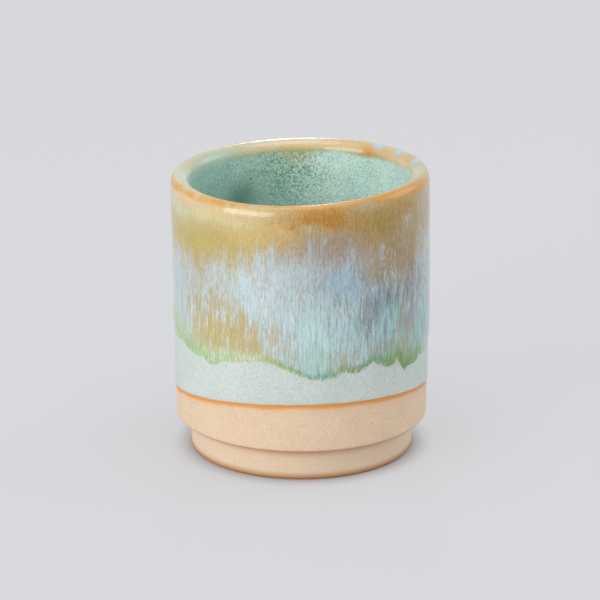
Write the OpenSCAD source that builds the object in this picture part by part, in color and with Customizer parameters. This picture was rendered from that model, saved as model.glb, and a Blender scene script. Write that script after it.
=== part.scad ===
// Handle-less tea cup of stoneware: a straight clay wall and floor, a stepped-in foot ring,
// a first coat of pale glaze inside and out, and a second coat that hooks over the lip and
// runs down the outside in tongues. The origin is on the table at the cup's axis, +Z is up
// and -Y is the cup's front.

/* [Cup] */
// Height from the table to the top of the glazed lip
cup_h = 82; // [70:0.5:95]
// Outside diameter over both glaze coats
cup_d = 74; // [64:0.5:90]

/* [Clay body] */
// Thickness of the clay wall
wall_t = 4.2; // [3.2:0.1:5.5]
// Thickness of the clay floor
floor_t = 5; // [3.5:0.1:8]
// Rounding on the outside of the clay lip
lip_r = 1.4; // [0.8:0.1:2]
// Rounding where the inside wall meets the floor
floor_r = 8; // [4:0.5:14]
// Rounding on the lower outside edge of the wall
edge_r = 1; // [0.6:0.1:2.6]

/* [Foot ring] */
// Height of the foot ring
foot_h = 9.6; // [6:0.1:12]
// Width of the step from the wall in to the foot ring
foot_step = 4.2; // [3:0.1:8]
// Width of the ring of clay in the foot
foot_w = 5.2; // [3:0.1:10]
// Rounding on the two edges of the foot that meet the table
foot_r = 0.9; // [0.3:0.1:1.4]

/* [First glaze coat] */
// Thickness of the first coat, inside and outside
coat_t = 0.3; // [0.2:0.05:0.6]
// Height of the outside glaze line above the foot ring, at the cup's axis
line_h = 9.6; // [7.9:0.1:13.4]
// Rise of the glaze line towards the front, in degrees
line_front_lean = 7.6; // [0:0.2:8]
// Rise of the glaze line towards the right, in degrees
line_side_lean = 1.2; // [0:0.1:3]

/* [Run glaze coat] */
// Thickness of the run coat over the first coat
run_t = 0.4; // [0.2:0.05:0.8]
// Height of the run coat's lower edge between its tongues
run_h = 37; // [34:0.5:60]
// Depth that the run coat reaches inside the mouth, below the clay lip
hook_h = 4.5; // [4:0.5:12]

/* [Hidden] */
$fn = 128;

// Chords in each rounded stretch of an outline
arc_steps = 12;
// Angle between points of the run coat's lower edge, in degrees
edge_step = 2;
// How far a cutting shape reaches past what it cuts
cut_over = 2;

// Tongues of the run coat: angle from the front towards the right, drop, and half width in degrees
tongues = [
    [-76, 1.7, 13], [-53, 3, 16], [-44, 4.1, 9], [-34, 2, 10], [8, 5.7, 17], [24, 4.7, 10], [43, 4.6, 11],
    [53, 7.3, 5], [59, 6.7, 16], [70, 5.7, 23], [112, 2.6, 12], [140, 4.4, 14], [168, 2, 8], [190, 4.8, 16],
    [222, 2.2, 9], [246, 3.8, 13]
];

coats_t = coat_t + run_t;
wall_r = cup_d / 2 - coats_t;
bore_r = wall_r - wall_t;
clay_h = cup_h - coats_t;
crest_r = wall_r - lip_r;
inner_lip_r = wall_t - lip_r;
floor_z = foot_h + floor_t;
foot_outer_r = wall_r - foot_step;
foot_inner_r = foot_outer_r - foot_w;

// Height of the run coat's edge at an angle from the front
function turn_between(a, b) = (a - b + 540) % 360 - 180;
function tongue_drop(a, tongue) = tongue[1] * exp(-pow(turn_between(a, tongue[0]) / tongue[2], 2));
function run_edge(a) = run_h - max([for (t = tongues) tongue_drop(a, t)]);
run_edge_low = min([for (a = [0 : edge_step : 359]) run_edge(a)]);

// Outlines in the plane of radius and height
function arc(centre, r, from, to) =
    [for (i = [0 : arc_steps]) let (a = from + (to - from) * i / arc_steps) centre + r * [cos(a), sin(a)]];
function reversed(points) = [for (i = [len(points) - 1 : -1 : 0]) points[i]];

// The outside of the clay grown by g, from height z up to the lip's crest
function outside_line(g, z) =
    concat([[wall_r + g, z]], arc([crest_r, clay_h - lip_r], lip_r + g, 0, 90));
// The inside of the clay grown by g, from the lip's crest to the start of the straight wall
function inner_lip_line(g) = arc([crest_r, clay_h - inner_lip_r], inner_lip_r + g, 90, 180);
// The inside of the clay grown by g, from the lip's crest to the middle of the floor
function inside_line(g) = concat(
    inner_lip_line(g),
    arc([bore_r - floor_r, floor_z + floor_r], floor_r - g, 0, -90),
    [[0, floor_z + g]]
);
// The run coat's path grown by g, from height z outside, over the lip, to the end of its hook
function run_line(g, z) =
    concat(outside_line(g, z), inner_lip_line(g), [[bore_r - g, clay_h - hook_h]]);

// A coat between an inner and an outer line that run the same way, turned about the cup's axis
module turned_coat(inner, outer) {
    rotate_extrude() polygon(concat(inner, reversed(outer)));
}

// Everything above the leaning glaze line
module above_glaze_line() {
    side = 2 * (cup_h + cup_d);
    translate([0, 0, foot_h + line_h])
        rotate([-line_front_lean, -line_side_lean, 0])
            translate([-side / 2, -side / 2, 0]) cube(side);
}

// A ring below the run coat's lower edge, wider than the coat on both sides
module below_run_edge() {
    angles = [0 : edge_step : 360 - edge_step];
    count = 360 / edge_step;
    inner = wall_r - cut_over;
    outer = cup_d / 2 + cut_over;
    low = run_edge_low - 2 * cut_over;
    corners = [for (a = angles) each [
        [inner * sin(a), -inner * cos(a), run_edge(a)],
        [outer * sin(a), -outer * cos(a), run_edge(a)],
        [outer * sin(a), -outer * cos(a), low],
        [inner * sin(a), -inner * cos(a), low]
    ]];
    sides = [for (i = [0 : count - 1], k = [0 : 3])
        let (j = (i + 1) % count, m = (k + 1) % 4) each [
            [4 * i + k, 4 * j + m, 4 * i + m],
            [4 * i + k, 4 * j + k, 4 * j + m]
        ]];
    polyhedron(corners, sides);
}

// The thrown clay: wall, lip and floor, bare below the glaze line
module clay_body() {
    color("burlywood") rotate_extrude() polygon(concat(
        [[0, foot_h]],
        arc([wall_r - edge_r, foot_h + edge_r], edge_r, -90, 0),
        outside_line(0, clay_h - lip_r),
        inside_line(0)
    ));
}

// The ring of bare clay that the cup stands on, seated flat under the floor
module foot_ring() {
    color("tan") rotate_extrude() polygon(concat(
        [[foot_outer_r, foot_h], [foot_inner_r, foot_h]],
        arc([foot_inner_r + foot_r, foot_r], foot_r, 180, 270),
        arc([foot_outer_r - foot_r, foot_r], foot_r, -90, 0)
    ));
}

// The green glaze poured inside, from the floor up to the lip's crest
module liner_glaze() {
    color("mediumaquamarine") turned_coat(inside_line(0), inside_line(coat_t));
}

// The pale first coat outside, from the leaning glaze line up to the lip's crest
module base_glaze() {
    color("honeydew") intersection() {
        turned_coat(outside_line(0, foot_h + edge_r), outside_line(coat_t, foot_h + edge_r));
        above_glaze_line();
    }
}

// The streaked second coat, from its tongues up the outside, over the lip and into the mouth
module run_glaze() {
    color("lightsteelblue") difference() {
        turned_coat(run_line(coat_t, run_edge_low - cut_over), run_line(coats_t, run_edge_low - cut_over));
        below_run_edge();
    }
}

clay_body();
foot_ring();
liner_glaze();
base_glaze();
run_glaze();
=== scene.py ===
from math import atan2, cos, degrees, exp, hypot, pi, radians, sin, tan

import bmesh
import bpy
from mathutils import Matrix, Vector, noise


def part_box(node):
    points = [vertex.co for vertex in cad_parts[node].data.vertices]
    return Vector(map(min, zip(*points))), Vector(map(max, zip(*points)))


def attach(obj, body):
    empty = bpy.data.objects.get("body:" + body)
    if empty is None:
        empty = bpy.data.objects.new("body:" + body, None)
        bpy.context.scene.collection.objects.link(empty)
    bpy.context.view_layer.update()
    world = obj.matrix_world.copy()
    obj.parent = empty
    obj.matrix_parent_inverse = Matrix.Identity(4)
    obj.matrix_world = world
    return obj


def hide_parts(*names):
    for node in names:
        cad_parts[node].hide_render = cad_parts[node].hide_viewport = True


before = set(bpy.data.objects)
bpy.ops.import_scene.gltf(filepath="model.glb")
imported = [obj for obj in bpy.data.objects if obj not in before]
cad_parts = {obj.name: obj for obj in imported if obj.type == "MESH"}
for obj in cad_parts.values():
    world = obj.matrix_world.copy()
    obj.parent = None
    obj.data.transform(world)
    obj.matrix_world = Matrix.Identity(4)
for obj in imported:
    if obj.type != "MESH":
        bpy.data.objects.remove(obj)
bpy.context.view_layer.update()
mm = 0.001
noise.seed_set(7)    # unseeded, noise_vector follows the clock and no two runs are the same

# sizes that the coats share, read from the solids
runRadius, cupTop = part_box("run_glaze")[1].x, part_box("run_glaze")[1].z
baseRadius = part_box("base_glaze")[1].x
clayRadius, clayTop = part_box("clay_body")[1].x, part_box("clay_body")[1].z
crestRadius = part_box("liner_glaze")[1].x
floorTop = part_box("liner_glaze")[0].z
footRadius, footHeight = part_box("foot_ring")[1].x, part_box("foot_ring")[1].z
firstCoat = baseRadius - clayRadius
runCoat = runRadius - baseRadius
lipRound = clayRadius - crestRadius
print("frame loaded, cup", round(runRadius * 2 / mm, 1), "x", round(cupTop / mm, 1), "mm")

# how the thrown and fired wall differs from a true cylinder
throwing = dict(
    # waves of the rim: how many round, height, turn in degrees
    rimWaves=[(1, 0.78 * mm, 0), (2, 0.16 * mm, 57), (3, 0.12 * mm, 155)],
    rimLean=0.45 * mm,    # the mouth leans to the left
    warpFrom=44 * mm,     # height where the warp starts
    wobble=0.14 * mm,     # slow unevenness of the wall
    wobbleSize=26 * mm,
    wobbleSquash=0.6,     # below 1, the unevenness is longer upwards
    stillRadius=5 * mm,   # the middle of the floor stays as it is
    shoulder=1.4 * mm,    # how far the outside of the lip is drawn down, for a longer round
    shoulderFrom=72 * mm,
    shoulderRound=2.1 * mm,
    shoulderIn=0.8 * mm,  # distance from the crest over which it sets in
)


def smoothStep(low, high, value):
    t = min(1.0, max(0.0, (value - low) / (high - low)))
    return t * t * (3 - 2 * t)


def frontAngle(point):
    # degrees from the cup's front (-Y), positive towards the right
    return degrees(atan2(point.x, -point.y))


def turnBetween(a, b):
    return (a - b + 540) % 360 - 180


def softPatch(angle, level, at, height, wide, tall):
    # oval patch that fades out, half width in degrees and half height in mm
    reach = 2.4
    across = turnBetween(angle, at) / wide
    along = (level - height) / tall
    if abs(across) > reach or abs(along) > reach:
        return 0.0
    return exp(-across * across - along * along)


def roundTheCup(angle, stops):
    # values between stops of (angle, value, ...), which go once round the cup
    for (start, *low), (end, *high) in zip(stops, stops[1:] + [(stops[0][0] + 360, *stops[0][1:])]):
        if (angle - start) % 360 < end - start:
            t = smoothStep(0, end - start, (angle - start) % 360)
            return [a + (b - a) * t for a, b in zip(low, high)]


def warpLikeThrown(bm):
    s = throwing
    for v in bm.verts:
        x, y, z = v.co
        around, radius = atan2(y, x), hypot(x, y)
        drawn = smoothStep(s["shoulderFrom"], cupTop - s["shoulderRound"], z)
        drawn = min(drawn, (cupTop - z) / s["shoulderRound"])
        v.co.z -= s["shoulder"] * drawn * smoothStep(crestRadius, crestRadius + s["shoulderIn"], radius)
        share = smoothStep(s["warpFrom"], cupTop, z)
        waves = [height * cos(count * around + radians(turn)) for count, height, turn in s["rimWaves"]]
        v.co.z += share * sum(waves)
        v.co.x -= share * s["rimLean"]
        if radius > s["stillRadius"]:
            swell = s["wobble"] * noise.noise(Vector((x, y, z * s["wobbleSquash"])) / s["wobbleSize"])
            v.co.x += x / radius * swell
            v.co.y += y / radius * swell


def spunShape(corners, closed, columns, rowStep):
    # corners are (radius, height, rounding, segments) in the XZ plane, turned about the cup's axis
    bm = bmesh.new()
    verts = [bm.verts.new((r, 0, z)) for r, z, *_ in corners]
    for a, b in zip(verts, verts[1:] + verts[:1] if closed else verts[1:]):
        bm.edges.new((a, b))
    for vert, (r, z, rounding, segments) in zip(verts, corners):
        if rounding:
            bmesh.ops.bevel(bm, geom=[vert], offset=rounding, offset_type="OFFSET", segments=segments,
                            profile=0.5, affect="VERTICES", material=-1)
    for edge in bm.edges[:]:
        cuts = int(edge.calc_length() / rowStep)
        if cuts:
            bmesh.ops.subdivide_edges(bm, edges=[edge], cuts=cuts)
    # one sector is spun and then copied round, because one long spin is slow
    sectors, seamGap = 6, 0.004 * mm
    turn = 2 * pi / sectors
    bmesh.ops.spin(bm, geom=bm.verts[:] + bm.edges[:], cent=(0, 0, 0), axis=(0, 0, 1),
                   angle=turn, steps=columns // sectors)
    sector = bm.verts[:] + bm.edges[:] + bm.faces[:]
    for i in range(1, sectors):
        copied = bmesh.ops.duplicate(bm, geom=sector)["geom"]
        bmesh.ops.rotate(bm, verts=[g for g in copied if isinstance(g, bmesh.types.BMVert)], cent=(0, 0, 0),
                         matrix=Matrix.Rotation(i * turn, 3, "Z"))
    bmesh.ops.remove_doubles(bm, verts=bm.verts[:], dist=seamGap)
    bmesh.ops.recalc_face_normals(bm, faces=bm.faces[:])
    return bm


def makePiece(name, bm, material, node):
    sharpAngle = radians(35)
    for face in bm.faces:
        face.smooth = True
    for edge in bm.edges:
        edge.smooth = edge.calc_face_angle(0) < sharpAngle
    mesh = bpy.data.meshes.new(name)
    bm.to_mesh(mesh)
    bm.free()
    mesh.materials.append(material)
    piece = bpy.data.objects.new(name, mesh)
    bpy.context.scene.collection.objects.link(piece)
    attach(piece, "root")
    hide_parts(node)
    print(name, len(mesh.polygons), "faces")


def hexColor(code):
    # sRGB hex to linear
    values = [int(code[i:i + 2], 16) / 255 for i in (1, 3, 5)]
    return [v / 12.92 if v <= 0.04045 else ((v + 0.055) / 1.055) ** 2.4 for v in values] + [1]


def addNode(tree, kind, inputs=None, **settings):
    node = tree.nodes.new("ShaderNode" + kind)
    for name, value in settings.items():
        setattr(node, name, value)
    for key, value in (inputs or {}).items():
        if isinstance(value, bpy.types.NodeSocket):
            tree.links.new(value, node.inputs[key])
        else:
            node.inputs[key].default_value = value
    return node


def newMaterial(name):
    material = bpy.data.materials.new(name)
    material.use_nodes = True
    tree = material.node_tree
    return material, tree, tree.nodes["Principled BSDF"]


def patternAt(tree, point, across, along, seed, detail=2.0, rough=0.5):
    # noise whose grains are across x along in size, along the cup's axis
    placed = addNode(tree, "Mapping", {"Vector": point, "Location": (seed, seed * 1.7, seed * 0.6),
                                       "Scale": (1 / across, 1 / across, 1 / along)})
    grain = addNode(tree, "TexNoise", {"Vector": placed.outputs[0], "Scale": 1, "Detail": detail,
                                       "Roughness": rough})
    return grain.outputs["Fac"]


# Bare stoneware: sandy fired clay, dull, with fine grit, a few iron specks
# and an orange flash where the glaze line drew the iron out
claySet = dict(
    columns=300, rowStep=1.4 * mm, wall=4.2 * mm, floorRound=8 * mm, edgeRound=1.0 * mm,
    footWidth=5.2 * mm, footRound=0.9 * mm,
    sand="#E6CAAA", sandDark="#D1AC84", sandPale="#F1DCC1", iron="#7A5638",
    flash="#E2932F", toast="#B8772E", creaseAndShadow="#BE7526",
    grit=0.5 * mm, gritDepth=0.04 * mm, cloud=7 * mm, speckSpacing=5 * mm, speckSize=0.28 * mm,
    # below the glaze line: where the orange line starts and ends, how ragged it is, where its fade ends
    flashTop=0.15 * mm, flashEnd=1.15 * mm, flashRagged=0.9 * mm, flashFade=4.2 * mm,
    # above the table: where the toasted edge of the foot is fully brown, and where it ends
    toastFull=0.2 * mm, toastEnd=2.7 * mm,
    # round the step: how far the brown of the crease reaches down and up; what reaches down the top of the
    # foot is painted shadow of the step
    creaseShadowDown=3.4 * mm, creaseUp=1.0 * mm, creaseFull=0.2 * mm,
    # round the step: where the foot's painted light starts, and where it is full
    footLightStart=0.3 * mm, footLightFull=0.5 * mm,
    roughness=0.48, shine=0.7,
)
glazeLine = dict(height=19.2 * mm, frontLean=radians(7.6), sideLean=radians(1.2))
boreRadius = clayRadius - claySet["wall"]
innerLip = claySet["wall"] - lipRound - 0.01 * mm   # a hair short, so that the lip's two roundings stay apart


def glazeLineHeight(angle, radius):
    a, s = radians(angle), glazeLine
    return s["height"] + radius * (cos(a) * tan(s["frontLean"]) + sin(a) * tan(s["sideLean"]))


def stonewareMaterial():
    s = claySet
    material, tree, shader = newMaterial("bare stoneware")
    point = addNode(tree, "TexCoord").outputs["Object"]
    height = addNode(tree, "SeparateXYZ", {0: point}).outputs["Z"]
    grit = patternAt(tree, point, s["grit"], s["grit"], 3, detail=3, rough=0.6)
    cloud = patternAt(tree, point, s["cloud"], s["cloud"], 11)
    grainy = addNode(tree, "MapRange", {"Value": grit, "From Min": 0.3, "From Max": 0.7})
    cloudy = addNode(tree, "MapRange", {"Value": cloud, "From Min": 0.35, "From Max": 0.7, "To Max": 0.22})

    # the foot is painted paler below the step: painted light against the shade that the step and the table
    # put on it
    paintedFootLight = addNode(tree, "MapRange", {"Value": height, "From Min": footHeight + s["footLightStart"],
                                         "From Max": footHeight - s["footLightFull"], "To Max": 0.35})

    # iron specks: the middles of scattered cells
    speckRadius = s["speckSize"] / s["speckSpacing"]
    cells = addNode(tree, "TexVoronoi", {"Vector": point, "Scale": 1 / s["speckSpacing"]})
    speck = addNode(tree, "MapRange", {"Value": cells.outputs["Distance"], "From Min": speckRadius,
                                       "From Max": 0.4 * speckRadius, "To Max": 0.8})

    # orange flash under the leaning glaze line, and a warm fade below it
    up = Vector((-tan(glazeLine["sideLean"]), tan(glazeLine["frontLean"]), 1))
    rise = addNode(tree, "VectorMath", {0: point, 1: up}, operation="DOT_PRODUCT").outputs["Value"]
    fade = addNode(tree, "MapRange", {"Value": rise, "From Min": glazeLine["height"] - s["flashFade"],
                                      "From Max": glazeLine["height"]})
    fade = addNode(tree, "Math", {0: fade.outputs[0], 1: 2.3}, operation="POWER")
    fade = addNode(tree, "Math", {0: fade.outputs[0], 1: 0.5}, operation="MULTIPLY")
    ragged = addNode(tree, "Math", {0: grit, 1: s["flashRagged"], 2: rise}, operation="MULTIPLY_ADD")
    ragged = addNode(tree, "Math", {0: cloud, 1: s["flashRagged"], 2: ragged.outputs[0]},
                     operation="MULTIPLY_ADD")
    lineAt = glazeLine["height"] + s["flashRagged"] / 2
    flash = addNode(tree, "MapRange", {"Value": ragged.outputs[0], "From Min": lineAt - s["flashEnd"],
                                       "From Max": lineAt - s["flashTop"], "To Max": 0.95},
                    interpolation_type="SMOOTHSTEP")

    # toasted foot edge, and the brown line in the crease under the step, drawn on down the top of the foot as
    # painted shadow of the step
    toasted = addNode(tree, "MapRange", {"Value": height, "From Min": s["toastEnd"],
                                         "From Max": s["toastFull"], "To Max": 0.95},
                      interpolation_type="SMOOTHSTEP")
    creaseAndShadow = addNode(tree, "MapRange", {"Value": height, "From Min": footHeight - s["creaseShadowDown"],
                                        "From Max": footHeight, "To Max": 0.72},
                     interpolation_type="SMOOTHSTEP")
    over = addNode(tree, "MapRange", {"Value": height, "From Min": footHeight + s["creaseUp"],
                                      "From Max": footHeight + s["creaseFull"]},
                   interpolation_type="SMOOTHSTEP")
    creaseAndShadow = addNode(tree, "Math", {0: creaseAndShadow.outputs[0], 1: over.outputs[0]}, operation="MULTIPLY")

    # each tone lies over the ones before it
    tone = hexColor(s["sandDark"])
    for share, name in [(grainy.outputs[0], "sandPale"), (0.45, "sand"), (cloudy.outputs[0], "sandDark"),
                        (paintedFootLight.outputs[0], "sandPale"), (speck.outputs[0], "iron"),
                        (fade.outputs[0], "flash"), (flash.outputs[0], "flash"),
                        (toasted.outputs[0], "toast"), (creaseAndShadow.outputs[0], "creaseAndShadow")]:
        tone = addNode(tree, "Mix", {0: share, 6: tone, 7: hexColor(s[name])}, data_type="RGBA").outputs[2]
    relief = addNode(tree, "Bump", {"Height": grit, "Distance": s["gritDepth"], "Strength": 1.0})
    tree.links.new(tone, shader.inputs["Base Color"])
    tree.links.new(relief.outputs[0], shader.inputs["Normal"])
    shader.inputs["Roughness"].default_value = s["roughness"]
    shader.inputs["Specular IOR Level"].default_value = s["shine"]
    return material


def makeClay(material):
    s = claySet
    body = spunShape([
        (0, footHeight, 0, 0), (clayRadius, footHeight, s["edgeRound"], 6),
        (clayRadius, clayTop, lipRound, 6), (boreRadius, clayTop, innerLip, 8),
        (boreRadius, floorTop, s["floorRound"], 10), (0, floorTop, 0, 0),
    ], False, s["columns"], s["rowStep"])
    warpLikeThrown(body)
    makePiece("clayWall", body, material, "clay_body")

    inner = footRadius - s["footWidth"]
    foot = spunShape([
        (inner, 0, s["footRound"], 5), (footRadius, 0, s["footRound"], 5),
        (footRadius, footHeight, 0, 0), (inner, footHeight, 0, 0),
    ], True, s["columns"], s["rowStep"])
    makePiece("footRing", foot, material, "foot_ring")


# Liner: glossy green glaze over the clay, broken into fine dark and pale crystals
# that crowd together high on the back wall
linerSet = dict(
    columns=300, rowStep=1.2 * mm,
    mint="#CEE4DA", sea="#BEDACF", deep="#4C8A60", pale="#E2F1EB",
    # the first three tones below are painted shade for the dim left of the inner wall; pale also serves as
    # painted light on its lit right
    lagoon="#86B1A6", paintedShadeKelp="#85ACA1", paintedShadeHollow="#608577", honey="#D8C48A", bottom="#8CB9AB",
    grain=0.48 * mm, grainLong=0.65 * mm, fleck=0.384 * mm, fleckLong=0.52 * mm, cloud=9 * mm,
    crowdAt=(-4 * mm, 32 * mm, 75.5 * mm), crowdSize=20 * mm, crowdCore=3 * mm,
    # patches laid over the liner: place and reach in mm, tone, share; the bottom pool and the honey band
    # under the back lip are the glaze's own, the three darker teal patches on the left are painted shade
    # where the inner wall lies in shade, and the pale patch on the right is painted light where the inner
    # wall is lit
    pools=[
        ((-29, 14, 66), 26, "lagoon", 0.78), ((-15, 27, 62), 26, "paintedShadeKelp", 0.64),
        ((-18, 26, 65), 9, "paintedShadeHollow", 0.8), ((-2, 32, 80.5), 9, "honey", 0.9),
        ((10, 31, 77), 14, "pale", 0.4), ((0, 0, 14), 24, "bottom", 0.7),
    ],
    roughness=0.16, ior=1.5,
)


def linerColor(tree, point):
    # shared with the run coat, so that the two match where one ends on the other
    s = linerSet
    grain = patternAt(tree, point, s["grain"], s["grainLong"], 5, detail=2.5, rough=0.6)
    fleck = patternAt(tree, point, s["fleck"], s["fleckLong"], 17, detail=2)
    cloud = patternAt(tree, point, s["cloud"], s["cloud"], 8)
    clouded = addNode(tree, "MapRange", {"Value": cloud, "From Min": 0.38, "From Max": 0.62},
                      interpolation_type="SMOOTHSTEP")
    light = addNode(tree, "MapRange", {"Value": fleck, "From Min": 0.52, "From Max": 0.66, "To Max": 0.85})
    layers = [(clouded.outputs[0], "sea"), (light.outputs[0], "pale")]
    # patches: glaze that pooled, and painted shade and painted light on the inner wall
    for place, reach, name, share in s["pools"]:
        near = addNode(tree, "VectorMath", {0: point, 1: Vector(place) * mm}, operation="DISTANCE")
        near = addNode(tree, "MapRange", {"Value": near.outputs["Value"], "From Min": reach * mm,
                                          "From Max": 0, "To Max": share}, interpolation_type="SMOOTHSTEP")
        layers.append((near.outputs[0], name))

    # dark crystals, most of them in the crowd
    far = addNode(tree, "VectorMath", {0: point, 1: s["crowdAt"]}, operation="DISTANCE")
    crowd = addNode(tree, "MapRange", {"Value": far.outputs["Value"], "From Min": s["crowdSize"],
                                       "From Max": s["crowdCore"]}, interpolation_type="SMOOTHSTEP")
    dark = addNode(tree, "Math", {0: crowd.outputs[0], 1: 0.14, 2: grain}, operation="MULTIPLY_ADD")
    dark = addNode(tree, "Math", {0: cloud, 1: 0.12, 2: dark.outputs[0]}, operation="MULTIPLY_ADD")
    dark = addNode(tree, "MapRange", {"Value": dark.outputs[0], "From Min": 0.6, "From Max": 0.83,
                                      "To Max": 0.75}, interpolation_type="SMOOTHSTEP")
    layers.append((dark.outputs[0], "deep"))

    tone = hexColor(s["mint"])
    for share, name in layers:
        tone = addNode(tree, "Mix", {0: share, 6: tone, 7: hexColor(s[name])}, data_type="RGBA").outputs[2]
    shade = addNode(tree, "MapRange", {"Value": fleck, "From Min": 0.3, "From Max": 0.7,
                                       "To Min": 0.82, "To Max": 1.18})
    return addNode(tree, "HueSaturation", {"Color": tone, "Value": shade.outputs[0]}).outputs[0]


def linerMaterial():
    s = linerSet
    material, tree, shader = newMaterial("green liner glaze")
    point = addNode(tree, "TexCoord").outputs["Object"]
    tree.links.new(linerColor(tree, point), shader.inputs["Base Color"])
    shader.inputs["Roughness"].default_value = s["roughness"]
    shader.inputs["IOR"].default_value = s["ior"]
    return material


def makeLiner(material):
    s = linerSet
    top, inside, corner = clayTop + firstCoat, boreRadius - firstCoat, claySet["floorRound"]
    coat = spunShape([
        (0, floorTop, 0, 0), (boreRadius, floorTop, corner, 8), (boreRadius, clayTop, innerLip, 6),
        (crestRadius, clayTop, 0, 0), (crestRadius, top, 0, 0), (inside, top, innerLip + firstCoat, 8),
        (inside, floorTop + firstCoat, corner - firstCoat, 12), (0, floorTop + firstCoat, 0, 0),
    ], False, s["columns"], s["rowStep"])
    warpLikeThrown(coat)
    makePiece("linerCoat", coat, material, "liner_glaze")


# First coat outside: pale satin glaze with a fine grey-green speckle, thin and warm at its edge
baseSet = dict(
    columns=360, rowStep=1.2 * mm, edgeRound=0.2 * mm,
    settle=46 * mm,    # the wall above this height stays as it was spun
    milkWhite="#CCD5CF", ice="#C4D0CA", speckle="#A3B2A9", cream="#DFE2D8", thin="#E0A464",
    grain=0.55 * mm, grainDepth=0.012 * mm, cloud=10 * mm, waver=0.14 * mm, waverSize=5 * mm,
    farAbove=30,       # mm above the line, for what lies well clear of it
    roughness=0.4, ior=1.5,
)


def baseMaterial():
    s = baseSet
    material, tree, shader = newMaterial("pale satin glaze")
    point = addNode(tree, "TexCoord").outputs["Object"]
    above = addNode(tree, "Attribute", attribute_name="aboveLine").outputs["Fac"]
    grain = patternAt(tree, point, s["grain"], s["grain"], 21, detail=3, rough=0.6)
    cloud = patternAt(tree, point, s["cloud"], s["cloud"], 24)
    light = addNode(tree, "MapRange", {"Value": cloud, "From Min": 0.35, "From Max": 0.65})
    speckle = addNode(tree, "MapRange", {"Value": grain, "From Min": 0.5, "From Max": 0.72, "To Max": 0.6})
    bright = addNode(tree, "MapRange", {"Value": grain, "From Min": 0.48, "From Max": 0.3, "To Max": 0.6})
    thin = addNode(tree, "Math", {0: grain, 1: 0.5, 2: above}, operation="MULTIPLY_ADD")
    thin = addNode(tree, "MapRange", {"Value": thin.outputs[0], "From Min": 0.65, "From Max": 0.15,
                                      "To Max": 0.7}, interpolation_type="SMOOTHSTEP")
    tone = hexColor(s["ice"])
    for share, name in [(light.outputs[0], "milkWhite"), (speckle.outputs[0], "speckle"),
                        (bright.outputs[0], "cream"), (thin.outputs[0], "thin")]:
        tone = addNode(tree, "Mix", {0: share, 6: tone, 7: hexColor(s[name])}, data_type="RGBA").outputs[2]
    relief = addNode(tree, "Bump", {"Height": grain, "Distance": s["grainDepth"], "Strength": 1.0})
    tree.links.new(tone, shader.inputs["Base Color"])
    tree.links.new(relief.outputs[0], shader.inputs["Normal"])
    shader.inputs["Roughness"].default_value = s["roughness"]
    shader.inputs["IOR"].default_value = s["ior"]
    return material


def makeBase(material):
    s = baseSet
    low, top = glazeLine["height"], clayTop + firstCoat
    coat = spunShape([
        (clayRadius, low, 0, 0), (clayRadius, clayTop, lipRound, 6), (crestRadius, clayTop, 0, 0),
        (crestRadius, top, 0, 0), (baseRadius, top, lipRound + firstCoat, 6),
        (baseRadius, low, s["edgeRound"], 3),
    ], True, s["columns"], s["rowStep"])
    aboveLine = coat.verts.layers.float.new("aboveLine")
    for v in coat.verts:
        if v.co.z < s["settle"]:
            share = (s["settle"] - v.co.z) / (s["settle"] - low)
            waver = s["waver"] * noise.noise(Vector((v.co.x, v.co.y, 0)) / s["waverSize"])
            line = glazeLineHeight(frontAngle(v.co), clayRadius) + waver
            v.co.z += share * (line - low)
            v[aboveLine] = (v.co.z - line) / mm
        else:
            v[aboveLine] = s["farAbove"]
    warpLikeThrown(coat)
    makePiece("baseCoat", coat, material, "base_glaze")


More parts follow.
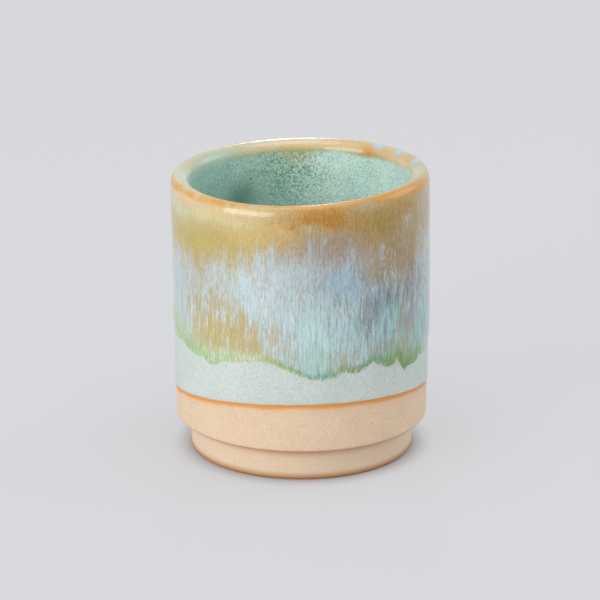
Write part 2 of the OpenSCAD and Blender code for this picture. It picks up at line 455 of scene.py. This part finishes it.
# Second coat: honey glaze that turned milky and ran, so it lies in fine upright streaks
# of lilac and aqua over tan, pools green at its edge and breaks to orange on the lip
runSet = dict(
    columns=684, rowStep=0.9 * mm, hook=4.5 * mm, hookEdge=0.05 * mm, edgeRound=0.1 * mm,
    edgeHigh=37 * mm,    # the edge between the tongues
    settle=62 * mm,      # the wall above this height stays as it was spun
    # angle from the front, drop in mm, half width in degrees
    tongues=[
        (-76, 1.7, 13), (-53, 3, 16), (-44, 4.1, 9), (-34, 2, 10), (8, 5.7, 17), (24, 4.7, 10),
        (43, 4.6, 11), (53, 7.3, 5), (59, 6.7, 16), (70, 5.7, 23), (112, 2.6, 12), (140, 4.4, 14),
        (168, 2, 8), (190, 4.8, 16), (222, 2.2, 9), (246, 3.8, 13),
    ],
    # places where a bubble held the edge up, in the same way
    notches=[(47.5, 1.3, 0.8), (66, 1.2, 0.7), (152, 1.2, 0.9)],
    tooth=0.5 * mm, toothWidth=1.1 * mm,
    # the coat thins out towards its edge: share of its thickness left there, height of that stretch in mm
    thinShare=0.3, thinHeight=2.6,
    # streaks from fine to broad, width and length, and the mottle of the glass
    hairWide=0.36 * mm, hairLong=1.7 * mm, threadWide=0.5 * mm, threadLong=2.6 * mm,
    strandWide=0.55 * mm, strandLong=6.5 * mm, strandDepth=0.012 * mm,
    tintWide=1.2 * mm, tintLong=5 * mm, curtainWide=2.8 * mm, curtainLong=12 * mm, mottle=0.42 * mm,
    swayWaves=(160, 160, 110),    # sway of the streaks, in waves to the metre
    swayReach=0.6 * mm,
    # heights between which short drops turn to long streaks, and faint streaks to strong ones
    dropsTo=62 * mm, longFrom=42 * mm, faintTo=66 * mm, strongFrom=48 * mm,
    # how far the outlines of patches wander: grain, degrees across, mm up the wall and near the crest
    straySize=6 * mm, strayFine=2.2 * mm, strayAcross=2.5, strayUp=1.2, strayUpLip=0.3, lipHeight=2,
    # the same in mm for the orange line of the lip, and for where its colours end in the mouth
    strayLip=0.3, strayInner=0.5,
    fleckSize=1.5 * mm, fleckBroad=4 * mm, fleckShare=0.4,    # unevenness of the orange line
    # mm from the honey line: where the glass turns to honey, and where the milk ends
    honeyFrom=-5, honeyTo=4, milkReach=8, milkFull=0.85,
    # milky spots on the lip: mm below the crest, half height in mm, wander in degrees and in mm
    spotDown=0.3, spotTall=0.8, spotAcross=3, spotUp=0.6,
    farAbove=60,    # mm above the edge, for what lies inside the mouth
    cream="#DFD2B2", glossy=0.12, dull=0.34, ior=1.6,
)
runTones = dict(
    straw="#D4C694", khaki="#BAA860", paleGreen="#C3C79E", honey="#C9B06C", caramel="#CDA968",
    amber="#B37D22", bronze="#B18B4A", olive="#A4883F", rosewood="#A08D76", brown="#9F8A63",
    rose="#AE9270", tan="#B3A07C", oat="#BDAE80", gold="#BFAA6E", apricot="#DBB888", mustard="#BAB07C",
    rust="#C08A40", peach="#DABC92", crest="#CC9135", sage="#ACC2AE", moss="#B2AE78", frost="#BFD8C8",
    sky="#9CC4DA", ochre="#B49D68", dove="#C2AF85", fog="#BBB5A4", lavender="#BAB2A8", mauve="#A2948A",
    slate="#958478", haze="#A3A8A7", dim="#888C8B", dusk="#6A6C6C", stone="#8F7D68", pewter="#949389",
    lilac="#B9C8C8", mist="#B4C5C8", pearl="#C2D6D8", aqua="#B6D3D0", steel="#9DB6BD", teal="#94C0C0",
    storm="#7A9095", ash="#98A4A8", sea="#A6C6C7", fern="#8FAC9C", shoal="#A6C8BD", drift="#A6BFC6",
    periwinkle="#B5BECF", paleLeaf="#A6C08C", mintLeaf="#A9C88C", paleMint="#BAD1A2",
    creamLeaf="#CAD4AA", oliveLeaf="#ACB676", leaf="#88A56C", lagoon="#79AD9C", jade="#78A077",
    grass="#749A50", mistLeaf="#98BEAB",
)
runLinear = {name: hexColor(code) for name, code in runTones.items()}

# tone of the glass under the milk: tone, angle, level in mm, half width in degrees, half height in mm,
# strength; levels go up the outside to the lip's crest and on down the inside
runGround = [
    ("fog", -72, 53, 16, 12, 0.9), ("lavender", -10, 59, 14, 7, 0.9), ("lavender", -8, 66, 13, 3.5, 0.8),
    ("haze", 9, 45, 15, 9, 1.0), ("slate", 18, 58, 14, 7, 1.0), ("dim", 34, 46, 13, 9, 1.0),
    ("dusk", 40, 53.5, 11, 4, 0.8), ("dusk", 40, 61, 8, 4, 0.4), ("stone", 57, 55, 9, 10, 0.9),
    ("haze", 70, 40, 11, 6, 0.8), ("haze", 55, 41, 8, 4, 0.4), ("pewter", -50, 54, 12, 8, 0.35),
    ("pewter", 76, 50, 12, 13, 0.9), ("mauve", 14, 67.5, 22, 4, 0.9), ("khaki", -54, 70, 30, 7, 1.0),
    ("paleGreen", -70, 77, 16, 4, 0.9), ("straw", -46, 78.5, 16, 3.2, 0.8), ("honey", -24, 74.5, 14, 5, 1.0),
    ("straw", -30, 78.5, 13, 2.8, 0.7), ("caramel", -5, 76.5, 8, 4, 0.9), ("bronze", 24, 76, 9, 4.5, 0.9),
    ("amber", 14, 78.8, 5, 2.8, 1.0), ("amber", 6, 79.6, 6, 1.6, 0.8), ("amber", -3, 77.6, 2.4, 1.5, 0.6),
    ("bronze", 1, 75.8, 1.8, 1.1, 0.6), ("rosewood", 14, 71.5, 15, 3, 0.8), ("olive", 40, 75, 10, 5.5, 1.0),
    ("brown", 50, 66, 12, 6, 0.9), ("rose", 57, 73, 6, 4, 0.8), ("bronze", 54, 77.8, 7, 2.4, 0.9),
    ("tan", 71, 74, 10, 8, 0.9), ("oat", -37, 46, 17, 9, 1.0), ("gold", -35, 42.5, 13, 4.5, 0.7),
    ("mustard", -24, 40, 9, 3, 0.8), ("mustard", -46, 40.5, 9, 3, 0.7), ("khaki", 150, 74, 30, 8, 0.8),
    ("mauve", 125, 60, 20, 10, 0.8), ("haze", 178, 46, 22, 12, 0.6), ("oat", 145, 44, 16, 8, 0.9),
    ("olive", -140, 74, 26, 8, 0.7), ("mauve", -150, 56, 18, 12, 0.8), ("tan", -115, 52, 18, 12, 0.7),
    ("mustard", -128, 42, 10, 4, 0.7), ("peach", -70, 80.6, 30, 1.8, 0.8), ("mauve", 150, 81.5, 14, 0.7, 0.7),
    ("peach", -24, 80.6, 14, 1.3, 0.5), ("amber", 8, 80.4, 14, 1.8, 0.6), ("tan", 33, 81, 9, 1.6, 0.5),
    ("peach", 78, 81, 14, 1.6, 0.5), ("peach", 140, 81, 30, 1.6, 0.5), ("peach", -130, 81, 30, 1.6, 0.6),
    ("apricot", 185, 83.5, 48, 1.4, 0.9), ("moss", 180, 85.8, 50, 1.5, 0.9), ("sage", -128, 84, 26, 2.4, 0.9),
    ("frost", -82, 83.4, 20, 1.7, 0.95), ("peach", 112, 84.4, 18, 1.3, 0.7), ("sage", 88, 83.6, 12, 1.5, 0.8),
    ("rust", 141, 84.2, 5, 1.6, 0.8),
]
# where milky glaze stayed on the lip: tone, angle, half width in degrees, strength
runCrest = [
    ("sky", 137, 3, 1.0), ("sky", 121, 3.5, 1.0), ("sky", 104, 4, 1.0), ("pearl", -165, 12, 0.7),
    ("pearl", 172, 10, 0.6),
]
# the orange line round the lip: angle, mm past the crest, half width in mm, strength
runLip = [
    (-150, -0.9, 0.5, 0.4), (-115, -1.0, 0.6, 0.5), (-80, -0.7, 0.8, 0.8), (-55, -0.5, 0.7, 0.7),
    (-40, -0.2, 1.0, 0.75), (-15, 0.4, 0.7, 0.7), (5, 0.2, 0.9, 0.8), (30, 0.1, 0.9, 0.6),
    (48, -0.4, 1.4, 0.85), (62, -0.6, 1.3, 0.85), (85, -1.1, 0.7, 0.5), (120, -0.8, 0.6, 0.4),
    (180, 0.7, 0.5, 0.3),
]
# tone of the milk itself, in the same way as the glass
runVeil = [
    ("mist", -66, 53, 18, 14, 1.0), ("sage", -69, 41, 12, 5, 0.8), ("pearl", -20, 57, 9, 9, 0.9),
    ("aqua", 11, 46, 15, 9, 1.0), ("steel", 19, 60, 16, 7, 1.0), ("sea", 26, 45, 8, 7, 0.9),
    ("ash", 57, 54, 9, 9, 0.9), ("storm", 40, 52.5, 12, 5, 1.0), ("teal", 44, 44.5, 10, 6, 1.0),
    ("storm", 56, 43, 7, 6, 0.7), ("drift", 76, 50, 12, 12, 0.9), ("teal", 71, 40, 11, 6, 1.0),
    ("shoal", 8, 36.5, 18, 4, 0.9), ("fern", 48, 37, 17, 4, 0.9), ("mauve", 12, 69, 16, 4, 0.5),
    ("aqua", 175, 44, 24, 10, 0.9), ("mist", -120, 52, 24, 12, 0.8), ("teal", 118, 46, 18, 10, 0.8),
]
# more or less milk than the height alone gives: angle, level, half width, half height, amount
runMilk = [
    (-37, 43, 15, 9, -0.76), (-52, 40, 8, 5, -0.55), (-21, 41, 7, 5.5, -0.45), (8, 44, 16, 9, 0.12),
    (-48, 56, 11, 7, -0.28), (30, 61, 20, 6, -0.12), (72, 42, 9, 6, 0.32), (55, 58, 9, 8, -0.22),
    (40, 61, 8, 4, -0.15), (56, 74, 4, 3, 0.3), (71, 75, 7, 6, 0.28), (10, 73, 9, 3, 0.15),
    (46, 66, 12, 3.5, 0.2), (145, 44, 15, 8, -0.9), (-128, 44, 12, 8, -0.8),
]
# where the streaks are broad and strong
runBold = [
    (56, 46, 18, 12, 2.4), (-38, 47, 14, 9, 1.4), (30, 62, 16, 6, 1.0), (130, 48, 22, 12, 1.8),
    (-125, 48, 20, 12, 1.6),
]
# where the streaks and the grain of the glass are fainter or stronger
runGain = [
    (-30, 60, 20, 9, -0.4), (-24, 48, 10, 8, -0.3), (10, 46, 10, 7, -0.2), (48, 75, 26, 7, 1.1),
    (8, 79, 16, 4, 1.2), (45, 38, 16, 4, 0.5), (-36, 43, 13, 7, 0.7),
]
# angle, and height in mm round which the honey band under the lip turns milky
honeyLine = [
    (-150, 68), (-120, 65), (-85, 65), (-70, 64), (-55, 62.5), (-42, 64.3), (-30, 67.3), (-20, 69.3),
    (-10, 69), (0, 68.2), (10, 67.6), (20, 67), (30, 65.5), (40, 62), (50, 60.5), (58, 61.5), (66, 65),
    (76, 66.5), (100, 66), (125, 63), (150, 69), (180, 66),
]
# green along the edge: angle, height in mm, cream fringe, tone
runPool = [
    (-85, 8.5, 0.1, "paleLeaf"), (-60, 8.0, 0.1, "paleLeaf"), (-46, 6.6, 0.1, "mintLeaf"),
    (-36, 4.6, 0.2, "paleMint"), (-24, 2.9, 0.4, "creamLeaf"), (-14, 3.2, 0.8, "oliveLeaf"),
    (-4, 2.7, 1.0, "leaf"), (4, 3.0, 1.0, "lagoon"), (11, 3.4, 1.0, "lagoon"), (18, 3.4, 1.0, "leaf"),
    (27, 3.6, 1.0, "jade"), (36, 4.2, 0.7, "jade"), (45, 6.2, 0.4, "grass"), (55, 7.6, 0.2, "grass"),
    (62, 7.0, 0.2, "grass"), (70, 4.6, 0.1, "mistLeaf"), (80, 3.0, 0.1, "mistLeaf"),
    (110, 2.8, 0.5, "leaf"), (140, 5.0, 0.2, "grass"), (168, 2.6, 0.8, "jade"),
    (190, 2.4, 1.0, "lagoon"), (222, 3.8, 0.4, "paleLeaf"), (246, 5.0, 0.1, "paleLeaf"),
]
# angle, and depths in mm past the crest between which the lip's colour gives way to the liner's
runInner = [
    (-120, 1.6, 4.6), (-95, 1.4, 3.8), (-65, 0.9, 3.0), (-40, 0.5, 1.8), (0, 0.6, 2.0), (50, 0.5, 2.0),
    (75, 0.6, 2.6), (95, 1.4, 4.0), (120, 1.9, 4.6), (143, 2.2, 5.0), (160, 1.6, 4.6), (180, 1.8, 5.0),
    (210, 1.8, 4.8),
]
# what the layout hands to the material, point by point
runNumbers = ("milk", "bold", "gain", "pool", "rise", "fringe", "lip", "inner")
runColors = ("ground", "veil", "poolTone")


def runEdge(point):
    # height of the coat's edge, and how far a notch lifts it
    s, angle = runSet, frontAngle(point)
    around = Vector((point.x, point.y, 0)) / s["toothWidth"]
    tooth = s["tooth"] * (noise.noise(around) + 0.5 * noise.noise(around * 2.1))
    drops = [drop * exp(-(turnBetween(angle, at) / wide) ** 2) for at, drop, wide in s["tongues"]]
    rises = [rise * exp(-(turnBetween(angle, at) / wide) ** 2) for at, rise, wide in s["notches"]]
    return s["edgeHigh"] + tooth - mm * max(drops), mm * sum(rises)


def mixTone(low, high, share):
    return [a + (b - a) * share for a, b in zip(low, high)]


def layTones(start, patches, angle, level):
    # a strong patch is full over its middle, and what is too faint to see is left out
    fullness, least = 1.25, 0.01
    color = start
    for name, at, height, wide, tall, strength in patches:
        share = min(1, fullness * strength * softPatch(angle, level, at, height, wide, tall))
        if share > least:
            color = mixTone(color, runLinear[name], share)
    return color


def addUp(patches, place):
    return sum(patch[4] * softPatch(*place, *patch[:4]) for patch in patches)


def runLayout(bm):
    s = runSet
    number = {name: bm.verts.layers.float.new(name) for name in runNumbers}
    color = {name: bm.verts.layers.float_color.new(name) for name in runColors}
    poolStops = [(at, height, fringe, *runLinear[tone]) for at, height, fringe, tone in runPool]
    top = cupTop / mm
    for v in bm.verts:
        angle, outside = frontAngle(v.co), hypot(v.co.x, v.co.y) > crestRadius
        level = v.co.z / mm if outside else 2 * top - v.co.z / mm
        edge, notch = runEdge(v.co)
        rise = (v.co.z - edge) / mm if outside else s["farAbove"]

        # patches have ragged outlines, so the place that is looked up wanders
        stray = noise.noise_vector(v.co / s["straySize"]) + 0.6 * noise.noise_vector(v.co / s["strayFine"])
        strayUp = s["strayUp"] if level < top - s["lipHeight"] else s["strayUpLip"]
        place = angle + s["strayAcross"] * stray.x, level + strayUp * stray.z
        honeyRise = place[1] - roundTheCup(angle, honeyLine)[0]

        # glass
        bare = smoothStep(s["honeyFrom"], s["honeyTo"], honeyRise)
        ground = layTones(mixTone(runLinear["dove"], runLinear["ochre"], bare), runGround, *place)
        for name, at, wide, strength in runCrest:
            spotPlace = angle + s["spotAcross"] * stray.y, level + s["spotUp"] * stray.x
            spot = softPatch(*spotPlace, at, top - s["spotDown"], wide, s["spotTall"])
            ground = mixTone(ground, runLinear[name], strength * spot)
        v[color["ground"]] = ground

        # milk
        milk = s["milkFull"] * smoothStep(s["milkReach"], -s["milkReach"], honeyRise)
        v[number["milk"]] = milk + addUp(runMilk, place)
        v[number["bold"]] = addUp(runBold, place)
        v[number["gain"]] = 1 + addUp(runGain, place)
        v[color["veil"]] = layTones(runLinear["lilac"], runVeil, *place)

        # edge
        poolHeight, fringe, *poolTone = roundTheCup(angle, poolStops)
        v[number["pool"]] = rise / poolHeight
        v[number["rise"]] = rise - notch / mm
        v[number["fringe"]] = fringe
        v[color["poolTone"]] = poolTone

        # lip
        lipAt, lipWide, lipShare = roundTheCup(angle, runLip)
        fleck = noise.noise(v.co / s["fleckSize"]) + 0.5 * noise.noise(v.co / s["fleckBroad"])
        lip = lipShare * exp(-((level - top - lipAt + s["strayLip"] * stray.y) / lipWide) ** 2)
        v[number["lip"]] = lip * (1 + s["fleckShare"] * fleck)
        shallow, deep = roundTheCup(angle, runInner)
        v[number["inner"]] = smoothStep(shallow, deep, level - top + s["strayInner"] * stray.y)


def runMaterial():
    s = runSet
    material, tree, shader = newMaterial("streaked run glaze")
    point = addNode(tree, "TexCoord").outputs["Object"]
    height = addNode(tree, "SeparateXYZ", {0: point}).outputs["Z"]
    tones = {name: addNode(tree, "Attribute", attribute_name=name).outputs["Color"] for name in runColors}
    layout = {name: addNode(tree, "Attribute", attribute_name=name).outputs["Fac"] for name in runNumbers}

    # streaks sway a little on their way down
    sway = addNode(tree, "Mapping", {"Vector": point, "Scale": s["swayWaves"]})
    sway = addNode(tree, "TexNoise", {"Vector": sway.outputs[0], "Scale": 1, "Detail": 1})
    sway = addNode(tree, "VectorMath", {0: sway.outputs["Color"], 1: (0.5, 0.5, 0.5)}, operation="SUBTRACT")
    sway = addNode(tree, "VectorMath", {0: sway.outputs[0], 1: (s["swayReach"], s["swayReach"], 0)},
                   operation="MULTIPLY")
    swayed = addNode(tree, "VectorMath", {0: point, 1: sway.outputs[0]}, operation="ADD").outputs[0]
    hair = patternAt(tree, swayed, s["hairWide"], s["hairLong"], 14, detail=1)
    strand = patternAt(tree, swayed, s["strandWide"], s["strandLong"], 2, detail=3, rough=0.6)
    thread = patternAt(tree, swayed, s["threadWide"], s["threadLong"], 41, detail=1)
    curtain = patternAt(tree, swayed, s["curtainWide"], s["curtainLong"], 31, detail=1)
    mottle = patternAt(tree, point, s["mottle"], s["mottle"], 52, detail=3, rough=0.6)
    tint = patternAt(tree, swayed, s["tintWide"], s["tintLong"], 63, detail=2)
    # short drops high up, long streaks lower down
    run = addNode(tree, "MapRange", {"Value": height, "From Min": s["dropsTo"], "From Max": s["longFrom"],
                                     "To Min": 0.4, "To Max": 0.75})
    streak = addNode(tree, "Mix", {0: run.outputs[0], 2: hair, 3: strand}).outputs[0]

    # honey glass with a fine mottle and a faint upright grain
    grain = addNode(tree, "Mix", {0: 0.5, 2: mottle, 3: streak}).outputs[0]
    grain = addNode(tree, "MapRange", {"Value": grain, "From Min": 0.3, "From Max": 0.7,
                                       "To Min": -0.24, "To Max": 0.24})
    grain = addNode(tree, "Math", {0: grain.outputs[0], 1: layout["gain"], 2: 1.0}, operation="MULTIPLY_ADD")
    ground = addNode(tree, "HueSaturation", {"Color": tones["ground"], "Value": grain.outputs[0]})

    # how far the streaks swing the milk, stronger lower down
    force = addNode(tree, "MapRange", {"Value": height, "From Min": s["faintTo"], "From Max": s["strongFrom"],
                                       "To Min": 1.7, "To Max": 3.4})
    swing = addNode(tree, "Math", {0: streak, 1: 0.5}, operation="SUBTRACT")
    swing = addNode(tree, "Math", {0: swing.outputs[0], 1: force.outputs[0]}, operation="MULTIPLY")
    swing = addNode(tree, "Math", {0: swing.outputs[0], 1: layout["gain"]}, operation="MULTIPLY")
    broad = addNode(tree, "Math", {0: tint, 1: 0.5}, operation="SUBTRACT")
    swing = addNode(tree, "Math", {0: broad.outputs[0], 1: layout["bold"], 2: swing.outputs[0]},
                    operation="MULTIPLY_ADD").outputs[0]

    # milk lies on the glass in streaks, with a few bright threads
    bright = addNode(tree, "MapRange", {"Value": thread, "From Min": 0.56, "From Max": 0.72}).outputs[0]
    thick = addNode(tree, "Math", {0: swing, 1: layout["milk"]}, operation="ADD")
    thick = addNode(tree, "Math", {0: curtain, 1: 1.6, 2: thick.outputs[0]}, operation="MULTIPLY_ADD")
    thick = addNode(tree, "Math", {0: bright, 1: 0.25, 2: thick.outputs[0]}, operation="MULTIPLY_ADD")
    thick = addNode(tree, "MapRange", {"Value": thick.outputs[0], "From Min": 0.9, "From Max": 1.9},
                    interpolation_type="SMOOTHSTEP")
    present = addNode(tree, "MapRange", {"Value": layout["milk"], "From Min": -0.02, "From Max": 0.25})
    thick = addNode(tree, "Math", {0: thick.outputs[0], 1: present.outputs[0]}, operation="MULTIPLY")
    bluer = addNode(tree, "MapRange", {"Value": tint, "From Min": 0.45, "From Max": 0.68, "To Max": 0.35})
    veil = addNode(tree, "Mix", {0: bluer.outputs[0], 6: tones["veil"], 7: runLinear["periwinkle"]},
                   data_type="RGBA")
    shade = addNode(tree, "MapRange", {"Value": mottle, "From Min": 0.3, "From Max": 0.7,
                                       "To Min": 0.9, "To Max": 1.06})
    shade = addNode(tree, "Math", {0: swing, 1: 0.42, 2: shade.outputs[0]}, operation="MULTIPLY_ADD")
    shade = addNode(tree, "Math", {0: bright, 1: 0.13, 2: shade.outputs[0]}, operation="MULTIPLY_ADD")
    veil = addNode(tree, "HueSaturation", {"Color": veil.outputs[2], "Value": shade.outputs[0]})

    # orange where the glaze broke thin on the lip, in speckles
    broken = addNode(tree, "Math", {0: mottle, 1: 1.6, 2: layout["lip"]}, operation="MULTIPLY_ADD")
    broken = addNode(tree, "MapRange", {"Value": broken.outputs[0], "From Min": 1.0, "From Max": 1.7,
                                        "To Max": 0.95}, interpolation_type="SMOOTHSTEP")

    # green pool along the edge, with teeth, and a cream fringe below it
    pool = addNode(tree, "Math", {0: streak, 1: 2.5, 2: layout["pool"]}, operation="MULTIPLY_ADD")
    pool = addNode(tree, "MapRange", {"Value": pool.outputs[0], "From Min": 2.25, "From Max": 1.5},
                   interpolation_type="SMOOTHSTEP")
    depth = addNode(tree, "Mix", {0: 0.6, 2: streak, 3: thread}).outputs[0]
    depth = addNode(tree, "MapRange", {"Value": depth, "From Min": 0.36, "From Max": 0.64,
                                       "To Min": 1.28, "To Max": 0.72})
    green = addNode(tree, "HueSaturation", {"Color": tones["poolTone"], "Value": depth.outputs[0]})
    fringe = addNode(tree, "Math", {0: hair, 1: 3.4, 2: layout["rise"]}, operation="MULTIPLY_ADD")
    fringe = addNode(tree, "MapRange", {"Value": fringe.outputs[0], "From Min": 2.4, "From Max": 1.7,
                                        "To Max": 0.85}, interpolation_type="SMOOTHSTEP")
    fringe = addNode(tree, "Math", {0: fringe.outputs[0], 1: layout["fringe"]}, operation="MULTIPLY")

    # inside the mouth it gives way to the liner's own colours
    within = addNode(tree, "Math", {0: mottle, 1: 0.5, 2: layout["inner"]}, operation="MULTIPLY_ADD")
    within = addNode(tree, "MapRange", {"Value": within.outputs[0], "From Min": 0.3, "From Max": 1.15},
                     interpolation_type="SMOOTHSTEP")

    # each of these lies over the ones before it
    tone = ground.outputs[0]
    for share, color in [(thick.outputs[0], veil.outputs[0]), (broken.outputs[0], runLinear["crest"]),
                         (pool.outputs[0], green.outputs[0]), (fringe.outputs[0], hexColor(s["cream"])),
                         (within.outputs[0], linerColor(tree, point))]:
        tone = addNode(tree, "Mix", {0: share, 6: tone, 7: color}, data_type="RGBA").outputs[2]
    relief = addNode(tree, "Bump", {"Height": strand, "Distance": s["strandDepth"], "Strength": 1.0})
    dull = addNode(tree, "MapRange", {"Value": layout["inner"], "From Max": 0.6, "To Min": s["glossy"],
                                      "To Max": s["dull"]})
    tree.links.new(tone, shader.inputs["Base Color"])
    tree.links.new(relief.outputs[0], shader.inputs["Normal"])
    tree.links.new(dull.outputs[0], shader.inputs["Roughness"])
    shader.inputs["IOR"].default_value = s["ior"]
    return material


def makeRun(material):
    s = runSet
    low, end = s["edgeHigh"], clayTop - s["hook"]
    under, top = clayTop + firstCoat, cupTop
    inside, over = boreRadius - firstCoat, boreRadius - firstCoat - runCoat
    coat = spunShape([
        (baseRadius, low, 0, 0), (baseRadius, under, lipRound + firstCoat, 5),
        (inside, under, innerLip + firstCoat, 5), (inside, end, 0, 0), (inside - s["hookEdge"], end, 0, 0),
        (over, top, innerLip + firstCoat + runCoat, 10), (runRadius, top, lipRound + firstCoat + runCoat, 10),
        (runRadius, low, s["edgeRound"], 2),
    ], True, s["columns"], s["rowStep"])
    backOfCoat = baseRadius + 0.02 * mm    # what lies within this radius touches the first coat
    for v in coat.verts:
        radius = hypot(v.co.x, v.co.y)
        if radius < crestRadius:
            continue
        edge = sum(runEdge(v.co))
        if v.co.z < s["settle"]:
            v.co.z += (s["settle"] - v.co.z) / (s["settle"] - low) * (edge - low)
        if radius > backOfCoat:
            full = smoothStep(0, s["thinHeight"], (v.co.z - edge) / mm)
            kept = s["thinShare"] + (1 - s["thinShare"]) * full
            pulled = (baseRadius + (radius - baseRadius) * kept) / radius
            v.co.x *= pulled
            v.co.y *= pulled
    runLayout(coat)
    warpLikeThrown(coat)
    makePiece("runCoat", coat, material, "run_glaze")


makeClay(stonewareMaterial())
makeLiner(linerMaterial())
makeBase(baseMaterial())
makeRun(runMaterial())

# plain pale floor, soft studio light
stageSet = dict(
    floorSize=6.0, floorColor="#C4C5C8", floorRoughness=0.9, floorShine=0.2,
    paleColor="#DDDDE0", worldColor="#F6F7FA", worldLevel=0.82,
    # share of the plain pale tone in the floor's look, at the foot and further off
    paleNear=0.0, paleFar=0.62, nearRadius=0.0312, farRadius=0.038,
    # name, azimuth from the front in degrees, elevation, distance, width, height, watts;
    # the narrow strip behind the cup draws a thin line of light on the lip
    lamps=[
        ("keySoftbox", -48, 17, 1.5, 1.2, 0.8, 9.8), ("topSoftbox", 4, 84, 1.2, 1.1, 0.9, 4.2),
        ("sideSoftbox", 110, 28, 1.4, 0.9, 0.7, 2.2), ("backStrip", 180, 39, 1.4, 0.09, 0.48, 0.95),
    ],
)


def makeStage():
    s = stageSet
    bm = bmesh.new()
    bmesh.ops.create_grid(bm, x_segments=1, y_segments=1, size=s["floorSize"] / 2)
    mesh = bpy.data.meshes.new("floor")
    bm.to_mesh(mesh)
    bm.free()
    floor = bpy.data.objects.new("floor", mesh)
    bpy.context.scene.collection.objects.link(floor)
    material, tree, shader = newMaterial("matt studio floor")
    shader.inputs["Base Color"].default_value = hexColor(s["floorColor"])
    shader.inputs["Roughness"].default_value = s["floorRoughness"]
    shader.inputs["Specular IOR Level"].default_value = s["floorShine"]
    # to the camera and in reflections the floor is evened out, less so near the cup's shadow
    point = addNode(tree, "TexCoord").outputs["Object"]
    far = addNode(tree, "VectorMath", {0: point}, operation="LENGTH")
    share = addNode(tree, "MapRange", {"Value": far.outputs["Value"], "From Min": s["nearRadius"],
                                       "From Max": s["farRadius"], "To Min": s["paleNear"],
                                       "To Max": s["paleFar"]})
    path = addNode(tree, "LightPath").outputs
    seen = addNode(tree, "Math", {0: path["Is Camera Ray"], 1: path["Is Glossy Ray"]}, operation="MAXIMUM")
    seen = addNode(tree, "Math", {0: seen.outputs[0], 1: path["Is Transmission Ray"]}, operation="MAXIMUM")
    share = addNode(tree, "Math", {0: share.outputs[0], 1: seen.outputs[0]}, operation="MULTIPLY")
    pale = addNode(tree, "Emission", {"Color": hexColor(s["paleColor"]), "Strength": 1})
    blend = addNode(tree, "MixShader", {0: share.outputs[0], 1: shader.outputs[0], 2: pale.outputs[0]})
    tree.links.new(blend.outputs[0], tree.nodes["Material Output"].inputs["Surface"])
    mesh.materials.append(material)

    world = bpy.data.worlds.new("studio")
    world.use_nodes = True
    world.node_tree.nodes["Background"].inputs["Color"].default_value = hexColor(s["worldColor"])
    world.node_tree.nodes["Background"].inputs["Strength"].default_value = s["worldLevel"]
    bpy.context.scene.world = world

    aim = Vector((0, 0, cupTop / 2))
    for name, azimuth, elevation, distance, width, height, watts in s["lamps"]:
        a, e = radians(azimuth), radians(elevation)
        lamp = bpy.data.lights.new(name, "AREA")
        lamp.shape, lamp.size, lamp.size_y, lamp.energy = "RECTANGLE", width, height, watts
        holder = bpy.data.objects.new(name, lamp)
        holder.location = aim + distance * Vector((sin(a) * cos(e), -cos(a) * cos(e), sin(e)))
        holder.rotation_euler = (aim - holder.location).to_track_quat("-Z", "Y").to_euler()
        bpy.context.scene.collection.objects.link(holder)
    print("stage and lamps made")


# camera at the photograph's angle, a long lens about a metre away
cameraSet = dict(lens=205, sensor=36, elevation=radians(18.57), distance=987 * mm, centre=38.14 * mm,
                 aimX=-0.47 * mm, aimZ=43.1 * mm)


def makeCamera():
    s = cameraSet
    data = bpy.data.cameras.new("camera")
    data.lens, data.sensor_width = s["lens"], s["sensor"]
    camera = bpy.data.objects.new("camera", data)
    back, rise = s["distance"] * cos(s["elevation"]), s["distance"] * sin(s["elevation"])
    camera.location = (0, -back, s["centre"] + rise)
    aim = Vector((s["aimX"], 0, s["aimZ"]))
    camera.rotation_euler = (aim - camera.location).to_track_quat("-Z", "Y").to_euler()
    bpy.context.scene.collection.objects.link(camera)
    bpy.context.scene.camera = camera
    bpy.context.scene.view_settings.view_transform = "Standard"
    print("camera set")


makeStage()
makeCamera()
